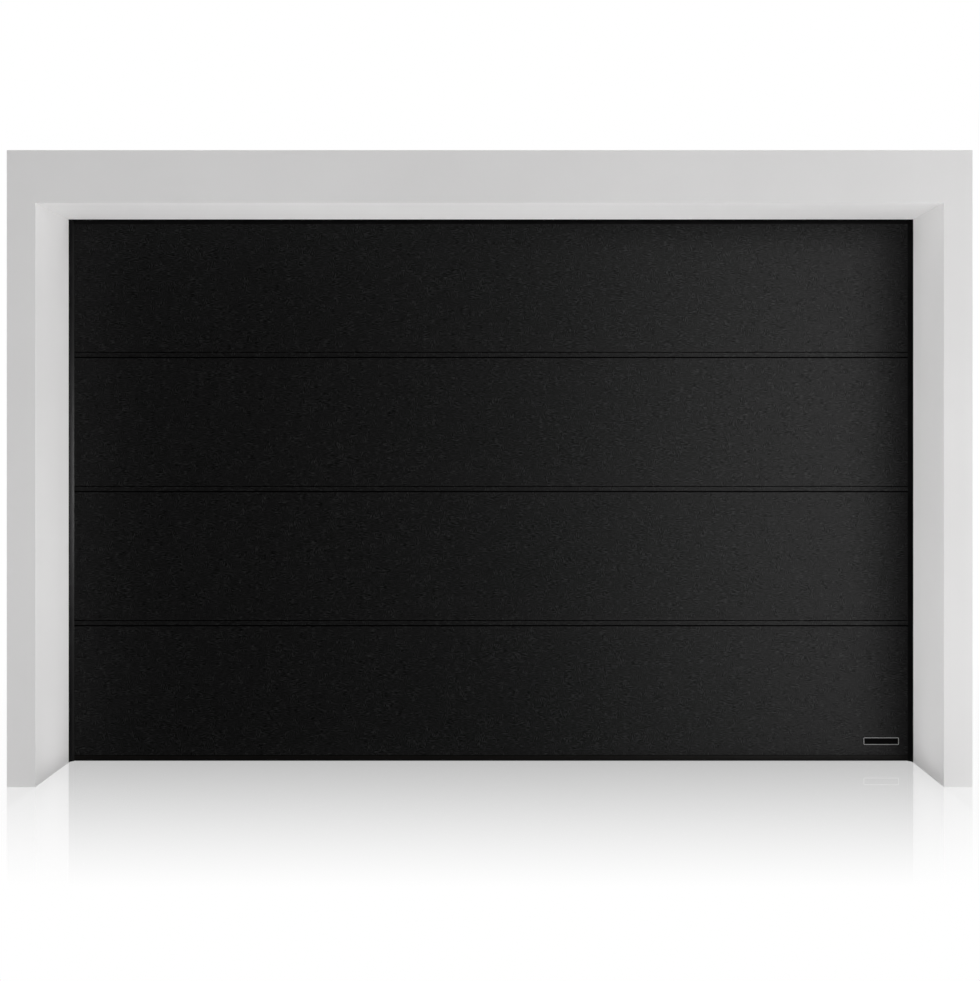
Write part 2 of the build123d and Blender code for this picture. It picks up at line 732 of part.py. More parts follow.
def cable_drum():
    """The cast drum at the right-hand end of the shaft: a flanged rim, a web and a long hub."""
    low, high = drum_middle - DRUM_WIDTH / 2, drum_middle + DRUM_WIDTH / 2
    flange = drum_core + DRUM_FLANGE
    inside = drum_core - DRUM_RIM
    bore = SHAFT_RADIUS + SHAFT_CLEARANCE
    with BuildPart() as drum:
        with BuildSketch(Plane.XY.offset(shaft_z)):
            with BuildLine():
                Polyline(
                    (low - DRUM_HUB_LENGTH, shaft_y + bore),
                    (drum_middle + DRUM_WEB / 2, shaft_y + bore),
                    (drum_middle + DRUM_WEB / 2, shaft_y + inside),
                    (high, shaft_y + inside),
                    (high, shaft_y + flange),
                    (high - DRUM_FLANGE_WIDTH, shaft_y + flange),
                    (high - DRUM_FLANGE_WIDTH, shaft_y + drum_core),
                    (low + DRUM_FLANGE_WIDTH, shaft_y + drum_core),
                    (low + DRUM_FLANGE_WIDTH, shaft_y + flange),
                    (low, shaft_y + flange),
                    (low, shaft_y + inside),
                    (drum_middle - DRUM_WEB / 2, shaft_y + inside),
                    (drum_middle - DRUM_WEB / 2, shaft_y + DRUM_HUB_RADIUS),
                    (low - DRUM_HUB_LENGTH, shaft_y + DRUM_HUB_RADIUS),
                    close=True,
                )
            make_face()
        revolve(axis=Axis((0, shaft_y, shaft_z), (1, 0, 0)))
    return drum.part


def end_bearing_plate():
    """The plate on the lintel that carries the right-hand end of the shaft."""
    low, high = shaft_z - BEARING_PLATE_HEIGHT / 2, shaft_z + BEARING_PLATE_HEIGHT / 2
    with BuildPart() as plate:
        shaft_web(bearing_x, low, high)
        block(
            (bearing_x + BEARING_SHEET, flange_edge),
            (wall_inner, wall_inner + BEARING_SHEET),
            (low, high),
        )
        rod((bearing_x - BEARING_BOSS_WIDTH, bearing_x), shaft_y, shaft_z, BEARING_BOSS_RADIUS)
        rod(
            (bearing_x - BEARING_BOSS_WIDTH, bearing_x + BEARING_SHEET),
            shaft_y,
            shaft_z,
            SHAFT_RADIUS + SHAFT_CLEARANCE,
            Mode.SUBTRACT,
        )
    return plate.part


def shaft_web(x, low, high):
    """Adds the upright web that stands out from the wall and holds the shaft's bearing."""
    nose = shaft_y + BEARING_NOSE
    with BuildSketch(Plane.YZ.offset(x)) as web:
        with BuildLine():
            Polyline(
                (wall_inner, low),
                (shaft_y, low),
                (nose, shaft_z - BEARING_BOSS_RADIUS),
                (nose, shaft_z + BEARING_BOSS_RADIUS),
                (shaft_y, high),
                (wall_inner, high),
                close=True,
            )
        make_face()
    extrude(web.sketch, amount=BEARING_SHEET)


def centre_bracket():
    """The bracket in the middle of the lintel that both fixed cones are bolted to."""
    low, high = shaft_z - BEARING_PLATE_HEIGHT / 2, shaft_z + BEARING_PLATE_HEIGHT / 2
    with BuildPart() as bracket:
        shaft_web(-BEARING_SHEET / 2, low, high)
        block(
            (-CENTRE_FLANGE / 2, CENTRE_FLANGE / 2),
            (wall_inner, wall_inner + BEARING_SHEET),
            (low, high),
        )
        rod(
            (-BEARING_SHEET, BEARING_SHEET),
            shaft_y,
            shaft_z,
            SHAFT_RADIUS + SHAFT_CLEARANCE,
            Mode.SUBTRACT,
        )
    return bracket.part


def rear_crossbar():
    """The lipped channel across the rear ends of the tracks, open to the back."""
    rear = CROSSBAR_DEPTH / 2
    with BuildPart() as bar:
        with BuildSketch(Plane.YZ.offset(-track_back)):
            with Locations((crossbar_y, track_top + CROSSBAR_HEIGHT / 2)):
                Rectangle(CROSSBAR_DEPTH, CROSSBAR_HEIGHT)
                Rectangle(
                    CROSSBAR_DEPTH - 2 * CROSSBAR_SHEET,
                    CROSSBAR_HEIGHT - 2 * CROSSBAR_SHEET,
                    mode=Mode.SUBTRACT,
                )
            with Locations((crossbar_y + rear, track_top + CROSSBAR_HEIGHT / 2)):
                Rectangle(
                    3 * CROSSBAR_SHEET, CROSSBAR_HEIGHT - 2 * CROSSBAR_LIP, mode=Mode.SUBTRACT
                )
        extrude(amount=2 * track_back)
    return bar.part


def ceiling_hangers():
    """The two right-hand hangers: an upright angle on the track and a foot for the ceiling."""
    low = track_z - TRACK_WIDTH / 2
    foot_low = hanger_top - HANGER_FOOT_SHEET
    leg_end = track_back + HANGER_SHEET
    with BuildPart() as hangers:
        for y in (MIDDLE_HANGER_Y, crossbar_y):
            front = y - HANGER_LEG / 2
            block((track_back, leg_end), (front, y + HANGER_LEG / 2), (low, foot_low))
            block(
                (leg_end, track_back + HANGER_LEG),
                (front, front + HANGER_SHEET),
                (low, foot_low),
            )
            foot_x = track_back + HANGER_FOOT_WIDTH / 2
            with BuildSketch(Plane.XY.offset(foot_low)):
                with Locations((foot_x, y)):
                    Rectangle(HANGER_FOOT_WIDTH, HANGER_FOOT_LENGTH)
                with Locations((foot_x, y)):
                    with GridLocations(0, HANGER_HOLE_SPACING, 1, 2):
                        Circle(HANGER_HOLE_RADIUS, mode=Mode.SUBTRACT)
            extrude(amount=HANGER_FOOT_SHEET)
    return hangers.part


def track_bumper():
    """The rubber stop inside the rear end of the right-hand track."""
    with BuildPart() as bumper:
        block(
            (
                track_mouth + TRACK_SHEET + SEAT_CLEARANCE,
                track_back - TRACK_SHEET - SEAT_CLEARANCE,
            ),
            (TRACK_END_Y - BUMPER_LENGTH, TRACK_END_Y),
            (track_z - BUMPER_HEIGHT / 2, track_z + BUMPER_HEIGHT / 2),
        )
    return bumper.part


os.makedirs("parts", exist_ok=True)

save_pair(wall_pier(), "wall_pier")
save(wall_lintel(), "wall_lintel")
for number in range(SECTION_COUNT):
    save(door_section(number), f"door_section_{number + 1}")
save_pair(end_caps(), "section_end_caps")
save(bottom_rail(), "bottom_rail")
save(bottom_seal(), "bottom_seal")
save_pair(side_seal(), "side_seal")
save(top_seal(), "top_seal")
save_pair(side_frame(), "side_frame")
save_pair(vertical_track(), "vertical_track")
save_both(curved_track(), "curved_tracks")
save_pair(horizontal_track(), "horizontal_track")
save_both(corner_bracket(), "corner_brackets")
save_both(roller_wheels(), "roller_wheels")
save_both(roller_stems(), "roller_stems")
save_pair(side_hinges(), "side_hinges")
save_both(bottom_bracket(), "bottom_brackets")
save_both(top_roller_carrier(), "top_roller_carriers")
save(hinge_leaves(True), "hinge_lower_leaves")
save(hinge_leaves(False), "hinge_upper_leaves")
save(spring_shaft(), "spring_shaft")
save_pair(torsion_spring(), "torsion_spring")
save_both(spring_cones(), "spring_cones")
save_both(cable_drum(), "cable_drums")
save_both(end_bearing_plate(), "end_bearing_plates")
save(centre_bracket(), "centre_bracket")
save(rear_crossbar(), "rear_crossbar")
save_both(ceiling_hangers(), "ceiling_hangers")
save_both(track_bumper(), "track_bumpers")
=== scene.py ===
from math import pi

import bpy
import numpy as np
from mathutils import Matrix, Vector


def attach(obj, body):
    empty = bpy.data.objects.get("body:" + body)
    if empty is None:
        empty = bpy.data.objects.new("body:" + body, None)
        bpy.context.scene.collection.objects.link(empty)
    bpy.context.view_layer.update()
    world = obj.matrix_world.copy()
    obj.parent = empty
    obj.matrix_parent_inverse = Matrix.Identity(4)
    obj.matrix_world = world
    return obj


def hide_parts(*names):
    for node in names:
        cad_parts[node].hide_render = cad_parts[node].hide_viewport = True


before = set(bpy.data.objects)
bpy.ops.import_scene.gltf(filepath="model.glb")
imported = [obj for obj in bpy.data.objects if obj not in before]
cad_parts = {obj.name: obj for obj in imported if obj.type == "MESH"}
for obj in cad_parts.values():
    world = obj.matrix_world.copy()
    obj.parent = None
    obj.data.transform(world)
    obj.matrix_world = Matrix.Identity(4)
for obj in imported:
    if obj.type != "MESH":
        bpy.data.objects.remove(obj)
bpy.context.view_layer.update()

# Places of the frame, in metres. X to the right, Y into the garage, Z up.
DOORWAY_SIDE = 1.750
LEAF_FRONT = -0.020
TRACKS_END = 2.650
JOINTS = (0.564, 1.122, 1.680)
HINGE_X = 0.580
SHAFT_Y, SHAFT_Z = 0.035, 2.385
CAP_REAR = 0.0215
HINGE_REAR = 0.0225
BRACKET_REAR = 0.0245
TRACK_Y, TRACK_Z = 0.050, 2.310
TRACK_BOLTS = (0.16, 0.75, 1.34, 1.90, 1.990)
PLATE_BOLTS = (2.350, 2.420)


# Shader arithmetic

class Signal:
    """A number, vector or colour in a node tree. Arithmetic on it adds Math nodes."""

    def __init__(self, tree, socket=None):
        self.tree = tree
        self.socket = socket

    def make(self, kind, sockets=(), output=0, **settings):
        """Adds a node: its settings first, then the values or links of its sockets."""
        node = self.tree.nodes.new(kind)
        for name, value in settings.items():
            setattr(node, name, value)
        for key, value in dict(sockets).items():
            if isinstance(value, Signal):
                self.tree.links.new(value.socket, node.inputs[key])
            else:
                node.inputs[key].default_value = value
        return Signal(self.tree, node.outputs[output] if node.outputs else None)

    def math(self, operation, *values):
        return self.make("ShaderNodeMath", enumerate(values), operation=operation)

    def __add__(self, other):
        return self.math("ADD", self, other)

    def __sub__(self, other):
        return self.math("SUBTRACT", self, other)

    def __rsub__(self, other):
        return self.math("SUBTRACT", other, self)

    def __mul__(self, other):
        return self.math("MULTIPLY", self, other)

    def __abs__(self):
        return self.math("ABSOLUTE", self)

    def __pow__(self, other):
        return self.math("POWER", self, other)

    __radd__ = __add__
    __rmul__ = __mul__

    def smooth(self, low, high, to_low=0.0, to_high=1.0):
        """A smooth step from to_low to to_high as the number goes from low to high."""
        sockets = {1: low, 2: high, 3: to_low, 4: to_high, 0: self}
        return self.make("ShaderNodeMapRange", sockets, interpolation_type="SMOOTHSTEP")

    def stretched(self, x, y, z):
        return self.make("ShaderNodeVectorMath", {0: self, 1: (x, y, z)}, operation="MULTIPLY")

    def noise(self, scale, detail=2.0, roughness=0.5):
        sockets = {"Vector": self, "Scale": scale, "Detail": detail, "Roughness": roughness}
        return self.make("ShaderNodeTexNoise", sockets)

    def axes(self):
        return [self.make("ShaderNodeSeparateXYZ", {0: self}, output=i) for i in range(3)]

    def tint(self, first, second):
        """The colour that goes from first to second as the number goes from 0 to 1."""
        return self.make("ShaderNodeMix", {0: self, 6: first, 7: second}, 2, data_type="RGBA")


def grey(value, warm=0.0):
    return (value * (1 + warm), value, value * (1 - warm), 1.0)


class Finish:
    """A material that is built from Object coordinates and closed on one Principled shader."""

    def __init__(self, name, slot):
        self.material = bpy.data.materials.new(name)
        self.material.use_nodes = True
        self.slot = slot
        self.tree = self.material.node_tree
        self.tree.nodes.clear()
        self.place = Signal(self.tree).make("ShaderNodeTexCoord", output="Object")

    def close(self, height=None, depth=0.0002, strength=1.0, shade=None, **sockets):
        """Joins the sockets to the shader; height is a bump of the given depth in metres.

        shade mixes in a black that mirrors nothing, for grooves too narrow to catch light."""
        values = {name.replace("_", " "): value for name, value in sockets.items()}
        if height is not None:
            bump = {"Strength": strength, "Distance": depth, "Height": height}
            values["Normal"] = self.place.make("ShaderNodeBump", bump)
        shader = self.place.make("ShaderNodeBsdfPrincipled", values)
        if shade is not None:
            dark = {"Base Color": grey(0.0), "Roughness": 1.0, "Specular IOR Level": 0.0}
            black = self.place.make("ShaderNodeBsdfPrincipled", dark)
            shader = self.place.make("ShaderNodeMixShader", {0: shade, 1: shader, 2: black})
        self.place.make("ShaderNodeOutputMaterial", {"Surface": shader})
        return self


def wall_render():
    """Fine matt render: a sandy grain of under a millimetre and faint clouds of tone."""
    finish = Finish("wall_render", "wall_render")
    place = finish.place
    clouds = place.noise(1.3, 3.0)
    grain = place.noise(420.0, 3.0, 0.6)
    tone = clouds * 0.7 + grain * 0.3
    return finish.close(
        height=grain * 0.7 + place.noise(60.0, 2.0) * 0.3,
        depth=0.0005,
        strength=0.5,
        Base_Color=tone.smooth(0.3, 0.7).tint((0.742, 0.735, 0.734, 1), (0.782, 0.775, 0.774, 1)),
        Roughness=grain.smooth(0.3, 0.7, 0.82, 0.95),
        Specular_IOR_Level=0.2,
    )


def leaf_paint():
    """Painted sheet: black with a fine emboss outside, pale grey with a stucco emboss inside.

    The outer emboss is a fine hatching of short raised and recessed marks, mostly level and in some
    patches upright; the raised marks carry a painted highlight and the recessed ones painted shade.
    Joints and creases have painted shade inside."""
    finish = Finish("leaf_paint", "section_steel")
    place = finish.place
    depth = place.axes()[1]
    inside = depth.smooth(-0.001, 0.001)
    # Painted shade: the joints and creases are mixed towards a black that mirrors nothing.
    groove_shade = depth.smooth(LEAF_FRONT + 0.00005, LEAF_FRONT + 0.0003) * (1.0 - inside)
    level = place.stretched(60.0, 60.0, 370.0).noise(1.0, 0.0)
    upright = place.stretched(370.0, 60.0, 80.0).noise(1.0, 0.0)
    turned_up = place.noise(32.0, 1.0).smooth(0.54, 0.58)
    mark = turned_up * upright + (1.0 - turned_up) * level
    dense = place.noise(36.0, 2.0).smooth(0.40, 0.66, 0.3, 1.0)
    ridge = mark.smooth(0.52, 0.70) * dense
    cut = mark.smooth(0.48, 0.30) * dense
    emboss = (ridge - cut) * 0.5 + 0.5
    fleck = place.noise(260.0, 2.0, 0.6)
    # Painted highlight and shade of the emboss: raised marks lighter, recessed marks nearly black.
    black = cut.tint(ridge.tint(grey(0.0064), grey(0.0210)), grey(0.0003))
    white = fleck.smooth(0.3, 0.7).tint(grey(0.60, 0.012), grey(0.67, 0.010))
    stucco = place.noise(150.0, 2.0, 0.5).smooth(0.35, 0.65)
    height = (emboss * 0.6 + fleck * 0.4) * (1.0 - inside) + stucco * inside
    return finish.close(
        height=height,
        depth=0.0012,
        strength=0.5,
        shade=groove_shade,
        Base_Color=inside.tint(black, white),
        Roughness=emboss.smooth(0.1, 0.9, 0.44, 0.34),
        Specular_IOR_Level=0.08,
    )


def zinc(name, slot, stretch, light=0.62, rough=0.40, spangle=55.0):
    """Galvanised steel: crystals of differing brightness, and faint lines along the rolling."""
    finish = Finish(name, slot)
    place = finish.place
    cells = {"Vector": place, "Scale": spangle}
    crystals = place.make("ShaderNodeTexVoronoi", cells, output="Color").axes()[0]
    lines = place.stretched(*stretch).noise(1.0, 2.0)
    bloom = place.noise(7.0, 4.0, 0.6)
    tone = crystals * 0.25 + lines * 0.25 + bloom * 0.5
    return finish.close(
        height=lines * 0.5 + place.noise(600.0, 2.0) * 0.5,
        depth=0.00008,
        strength=0.5,
        Base_Color=tone.smooth(0.3, 0.7).tint(grey(light * 0.82, -0.02), grey(light * 1.08, -0.01)),
        Roughness=tone.smooth(0.3, 0.7, rough + 0.10, rough - 0.06),
        Metallic=1.0,
    )


def black_anodised():
    """The foot rail: black extruded aluminium with fine lines along it, and painted shade along its
    top edge.
    """
    finish = Finish("black_anodised", "rail_aluminium")
    place = finish.place
    lines = place.stretched(3.0, 900.0, 900.0).noise(1.0, 2.0)
    # Painted shade where the rail meets the leaf: its top edge is mixed towards a black that mirrors
    # nothing.
    seam_shade = place.axes()[2].smooth(0.0215, 0.0235)
    return finish.close(
        height=lines,
        depth=0.00006,
        strength=0.5,
        shade=seam_shade * 0.7,
        Base_Color=lines.smooth(0.3, 0.7).tint(grey(0.0025, 0.12), grey(0.0050, 0.18)),
        Roughness=lines.smooth(0.3, 0.7, 0.40, 0.30),
        Specular_IOR_Level=0.07,
    )


def black_rubber(name, sheen):
    """Extruded rubber: a fine grain, a faint bloom and a soft dull sheen."""
    finish = Finish(name, "seal_rubber")
    place = finish.place
    bloom = place.noise(22.0, 4.0, 0.6)
    grain = place.noise(900.0, 2.0)
    return finish.close(
        height=grain,
        depth=0.0001,
        strength=0.4,
        Base_Color=bloom.smooth(0.35, 0.7).tint(grey(0.0020), grey(0.0040)),
        Roughness=bloom.smooth(0.3, 0.7, 0.50, 0.62),
        Specular_IOR_Level=sheen,
    )


def white_nylon():
    """Moulded nylon: warm white, slightly mottled, with scuffs where the tread runs."""
    finish = Finish("white_nylon", "wheel_nylon")
    place = finish.place
    mottle = place.noise(90.0, 3.0)
    scuffs = place.stretched(1800.0, 160.0, 160.0).noise(1.0, 2.0)
    tone = mottle * 0.6 + scuffs * 0.4
    return finish.close(
        height=scuffs,
        depth=0.00008,
        strength=0.4,
        Base_Color=tone.smooth(0.3, 0.65).tint(grey(0.66, 0.02), grey(0.76, 0.015)),
        Roughness=tone.smooth(0.3, 0.7, 0.45, 0.33),
    )


def turned_steel():
    """Zinc plated bar: rings from turning across X, and a light bluish to straw cast."""
    finish = Finish("turned_steel", "stem_steel")
    place = finish.place
    rings = place.stretched(2600.0, 8.0, 8.0).noise(1.0, 2.0)
    cast = place.noise(30.0, 3.0)
    return finish.close(
        height=rings,
        depth=0.00004,
        strength=0.5,
        Base_Color=cast.smooth(0.35, 0.65).tint((0.53, 0.55, 0.58, 1), (0.60, 0.58, 0.53, 1)),
        Roughness=rings.smooth(0.3, 0.7, 0.26, 0.36),
        Metallic=1.0,
    )


def drawn_wire():
    """Drawn zinc coated wire: long fine draw marks and a patchy dull bloom."""
    finish = Finish("drawn_wire", "spring_steel")
    place = finish.place
    marks = place.stretched(1500.0, 60.0, 60.0).noise(1.0, 3.0)
    bloom = place.noise(26.0, 4.0, 0.6)
    return finish.close(
        height=marks,
        depth=0.00005,
        strength=0.5,
        Base_Color=bloom.smooth(0.35, 0.65).tint(grey(0.27, -0.02), grey(0.40, 0.0)),
        Roughness=bloom.smooth(0.3, 0.7, 0.34, 0.48),
        Metallic=1.0,
    )


def die_cast(name, slot, light):
    """Die cast aluminium: a sandy skin with darker pits and brighter worn patches."""
    finish = Finish(name, slot)
    place = finish.place
    sand = place.noise(700.0, 3.0, 0.6)
    worn = place.noise(35.0, 3.0)
    tone = sand * 0.45 + worn * 0.55
    return finish.close(
        height=sand,
        depth=0.0003,
        strength=0.4,
        Base_Color=tone.smooth(0.3, 0.7).tint(grey(light * 0.75), grey(light * 1.1)),
        Roughness=tone.smooth(0.3, 0.7, 0.58, 0.42),
        Metallic=0.9,
    )


def grooved_drum():
    """The drum's finish: die cast skin with the cable's groove, a fine thread round X."""
    finish = Finish("grooved_drum", "drum_aluminium")
    place = finish.place
    x, y, z = place.axes()
    radius = ((y - SHAFT_Y) ** 2.0 + (z - SHAFT_Z) ** 2.0) ** 0.5
    core = radius.smooth(0.046, 0.049) * radius.smooth(0.0535, 0.0525)
    thread = place.math("SINE", x * (2 * pi / 0.0055))
    sand = place.noise(700.0, 3.0, 0.6)
    worn = place.noise(35.0, 3.0)
    # The thread tints the colour too: painted shade down its groove and a painted highlight on its
    # crest.
    tone = sand * 0.4 + worn * 0.4 + thread * core * 0.1 + 0.1
    return finish.close(
        height=sand * 0.15 + thread * core * 0.5,
        depth=0.0012,
        strength=0.6,
        Base_Color=tone.smooth(0.3, 0.7).tint(grey(0.42), grey(0.64)),
        Roughness=tone.smooth(0.3, 0.7, 0.55, 0.40),
        Metallic=0.9,
    )


def pale_border():
    """The badge's border: brushed pale metal."""
    finish = Finish("pale_border", "rail_aluminium")
    lines = finish.place.stretched(8.0, 8.0, 1800.0).noise(1.0, 2.0)
    return finish.close(
        height=lines,
        depth=0.00004,
        strength=0.4,
        Base_Color=lines.smooth(0.3, 0.7).tint(grey(0.34), grey(0.42)),
        Roughness=lines.smooth(0.3, 0.7, 0.5, 0.4),
    )


def plate_lacquer():
    """The badge's ground: deep black lacquer, with a faint orange peel."""
    finish = Finish("plate_lacquer", "rail_aluminium")
    peel = finish.place.noise(320.0, 2.0)
    return finish.close(
        height=peel,
        depth=0.00005,
        strength=0.4,
        Base_Color=peel.smooth(0.3, 0.7).tint(grey(0.0008), grey(0.0016)),
        Roughness=peel.smooth(0.3, 0.7, 0.5, 0.6),
        Specular_IOR_Level=0.02,
    )


FINISHES = {
    "wall_render": wall_render(),
    "section_steel": leaf_paint(),
    "end_cap_steel": zinc("zinc_end_caps", "end_cap_steel", (600, 600, 4), 0.64, 0.42, 70.0),
    "rail_aluminium": black_anodised(),
    "seal_rubber": black_rubber("black_rubber", 0.08),
    "frame_steel": zinc("zinc_frames", "frame_steel", (500, 500, 4), 0.60, 0.42, 48.0),
    "track_steel": zinc("zinc_tracks", "track_steel", (700, 60, 60), 0.62, 0.36, 60.0),
    "wheel_nylon": white_nylon(),
    "stem_steel": turned_steel(),
    "hinge_steel": zinc("zinc_hinges", "hinge_steel", (4, 600, 600), 0.60, 0.36, 90.0),
    "spring_steel": drawn_wire(),
    "cone_aluminium": die_cast("cast_cones", "cone_aluminium", 0.50),
    "drum_aluminium": grooved_drum(),
    "bearing_steel": zinc("zinc_bearing_plates", "bearing_steel", (500, 500, 6), 0.58, 0.40, 55.0),
    "hanger_steel": zinc("zinc_hangers", "hanger_steel", (500, 500, 5), 0.60, 0.44, 50.0),
}
BORDER = pale_border()
PLATE = plate_lacquer()
GASKET = black_rubber("dull_rubber", 0.01)


def dress_nodes():
    """Gives every CAD node the finish of its slot."""
    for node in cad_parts.values():
        for place in node.material_slots:
            slot = place.material.name.split(".")[0]
            place.material = FINISHES[slot].material


# Surfaces

def closed_skins(name, skins, finish, rows_of_border=(), smooth=True):
    """Makes one mesh of closed skins, each a grid (rows, columns, 3) whose columns go round.

    Row i, column j is joined to row i + 1 and to column j + 1, the last column to the first, and
    the first and last rows are filled. A skin whose volume about its middle comes out negative
    has its columns turned round, so that all faces point outwards."""
    points, faces, kinds = [], [], []
    start = 0
    for skin in skins:
        skin = np.asarray(skin, float)
        middle = skin.reshape(-1, 3).mean(0)
        local = skin - middle
        right = np.roll(local, -1, 1)
        cross = np.cross(right[1:] - local[:-1], local[1:] - right[:-1])
        volume = (cross * (local[1:] + local[:-1] + right[1:] + right[:-1])).sum()
        if volume < 0:
            skin = skin[:, ::-1]
        rows, columns = skin.shape[:2]
        index = start + np.arange(rows * columns).reshape(rows, columns)
        beside = np.roll(index, -1, 1)
        quads = np.stack([index[:-1], beside[:-1], beside[1:], index[1:]], -1).reshape(-1, 4)
        points.append(skin.reshape(-1, 3))
        faces += quads.tolist() + [index[0, ::-1].tolist(), index[-1].tolist()]
        kinds += np.repeat(np.isin(np.arange(rows - 1), rows_of_border), columns).tolist()
        kinds += [False, False]
        start += rows * columns
    mesh = bpy.data.meshes.new(name)
    mesh.from_pydata(np.concatenate(points).tolist(), [], faces)
    mesh.materials.append(finish.material)
    if rows_of_border:
        mesh.materials.append(BORDER.material)
        mesh.polygons.foreach_set("material_index", np.array(kinds, np.int32))
    mesh.polygons.foreach_set("use_smooth", np.full(len(faces), smooth))
    mesh.update()
    piece = bpy.data.objects.new(name, mesh)
    bpy.context.scene.collection.objects.link(piece)
    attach(piece, "root")
    return piece


def turned(place, axis, outline, around=24, corners=6):
    """The skin of a turned or polygonal head about an axis through a place.

    outline holds rows of height h along the axis, radius r and squareness s. At turn t the
    radius is r * (1 - s + s / cos((t mod 2 pi / n) - pi / n)), so s = 0 is round and s = 1 is
    a polygon of n sides whose flats are 2 r apart."""
    height, radius, square = np.array(outline, float).T[:, :, None]
    turn = np.arange(around) * 2 * pi / around
    flat = 1 / np.cos(turn % (2 * pi / corners) - pi / corners)
    reach = radius * (1 - square + square * flat)
    axis = np.array(axis, float)
    axis /= np.linalg.norm(axis)
    across = np.cross(axis, (0.0, 0.0, 1.0) if abs(axis[2]) < 0.9 else (1.0, 0.0, 0.0))
    across /= np.linalg.norm(across)
    other = np.cross(axis, across)
    spokes = np.cos(turn)[:, None] * across + np.sin(turn)[:, None] * other
    return np.array(place) + height[..., None] * axis + reach[..., None] * spokes


def both(places):
    """Each place with its mirror image at the left."""
    return [(side * x, y, z) for x, y, z in places for side in (1, -1)]


def hex_screw(size):
    """Outline of a hexagonal head on a round flange: size is half the width over the flats."""
    return [
        (-0.0005, size * 1.45, 0), (size * 0.18, size * 1.45, 0), (size * 0.30, size * 1.25, 0),
        (size * 0.30, size * 1.0, 1), (size * 1.05, size * 1.0, 1), (size * 1.22, size * 0.82, 0),
        (size * 1.16, size * 0.55, 0),
    ]


def dome(size):
    """Outline of a low round head: height 0.45 of its radius, on a quarter of an ellipse."""
    turn = np.linspace(0, pi / 2 * 0.86, 5)
    rows = [(size * 0.45 * np.sin(t), size * np.cos(t), 0) for t in turn]
    return [(-0.0005, size, 0)] + rows


def bolt_end(size):
    """Outline of a hexagonal nut on a washer, with the bolt's chamfered end standing out."""
    return [
        (-0.0005, size * 1.5, 0), (size * 0.22, size * 1.5, 0), (size * 0.24, size, 1),
        (size * 1.05, size, 1), (size * 1.15, size * 0.85, 0), (size * 1.12, size * 0.58, 0),
        (size * 1.5, size * 0.58, 0), (size * 1.62, size * 0.46, 0),
    ]


def square_screw(size):
    """Outline of a square headed set screw with a short shank under the head."""
    return [
        (-0.002, size * 0.75, 0), (size * 0.9, size * 0.75, 0), (size * 0.95, size, 1),
        (size * 2.4, size, 1), (size * 2.6, size * 0.8, 0),
    ]


def leaf_screws():
    """Hexagonal screws that hold the hinges, carriers and foot brackets to the leaf's back."""
    places = []
    for joint in JOINTS:
        for side in (-1, 1):
            for x in (-0.028, 0.028):
                across = side * HINGE_X + x
                places += [(across, HINGE_REAR, joint + rise) for rise in (-0.045, 0.045)]
        places += both(
            (x, CAP_REAR + 0.0025, joint + rise)
            for x in (1.690, 1.722)
            for rise in (-0.052, -0.024, 0.061)
        )
    places += both((1.752, BRACKET_REAR, z) for z in (0.045, 0.115))
    places += both((x, BRACKET_REAR, 0.120) for x in (1.690, 1.722))
    places += both((x, BRACKET_REAR, z) for x in (1.690, 1.722) for z in (2.142, 2.166, 2.224))
    skins = [turned(place, (0, 1, 0), hex_screw(0.0048)) for place in places]
    return closed_skins("leaf_screws", skins, FINISHES["stem_steel"], smooth=False)


def cap_rivets():
    """Domed rivets down the inner and outer edges of the end caps' flanges."""
    heights = [base + step for base in (0.0, *JOINTS) for step in (0.19, 0.30, 0.42)]
    places = both((x, CAP_REAR, z) for x in (1.6815, 1.754) for z in heights)
    skins = [turned(place, (0, 1, 0), dome(0.0036), 16) for place in places]
    return closed_skins("cap_rivets", skins, FINISHES["stem_steel"])


def track_nuts():
    """Nuts outside the frames, corner brackets and hangers, on the bolts of the tracks."""
    places = both(
        [(1.799, TRACK_Y, z) for z in TRACK_BOLTS[:4]]
        + [(1.7995, TRACK_Y, TRACK_BOLTS[4]), (1.7995, 0.385, TRACK_Z)]
        + [(1.800, y, TRACK_Z) for y in (1.303, 2.623)]
    )
    skins = [turned(place, (place[0], 0, 0), bolt_end(0.0065)) for place in places]
    return closed_skins("track_nuts", skins, FINISHES["stem_steel"], smooth=False)


def track_bolt_heads():
    """Low domed bolt heads inside the tracks, where the rollers pass them."""
    places = both(
        [(1.795, TRACK_Y, z) for z in TRACK_BOLTS]
        + [(1.795, y, TRACK_Z) for y in (0.385, 1.303)]
    )
    skins = [turned(place, (-place[0], 0, 0), dome(0.0045), 20) for place in places]
    return closed_skins("track_bolt_heads", skins, FINISHES["stem_steel"])


def wall_anchors():
    """Anchor bolts through the flanges of the frames, corner brackets and shaft plates."""
    places = both(
        [(1.828, -0.038, z) for z in (0.16, 0.95, 1.78)]
        + [(1.828, -0.0375, z) for z in (2.05, 2.27)]
        + [(x, -0.037, z) for x in (1.836, 0.028) for z in PLATE_BOLTS]
    )
    skins = [turned(place, (0, 1, 0), hex_screw(0.0065)) for place in places]
    return closed_skins("wall_anchors", skins, FINISHES["stem_steel"], smooth=False)


def crossbar_bolts():
    """Bolt heads in the crossbar's floor, over each track."""
    places = both([(1.7835, 2.620, 2.3385)])
    skins = [turned(place, (0, 0, 1), hex_screw(0.0065)) for place in places]
    return closed_skins("crossbar_bolts", skins, FINISHES["stem_steel"], smooth=False)


def set_screws():
    """Square headed screws that pinch the winding cones and the drums' hubs on the shaft."""
    skins = []
    for side in (1, -1):
        for x, reach in ((0.7040, 0.0300), (1.7460, 0.0240)):
            for turn in (pi / 4, 3 * pi / 4):
                out = np.array((0.0, np.cos(turn), np.sin(turn)))
                place = np.array((side * x, SHAFT_Y, SHAFT_Z)) + reach * out
                skins.append(turned(place, out, square_screw(0.0045), 16, 4))
    return closed_skins("set_screws", skins, FINISHES["stem_steel"], smooth=False)


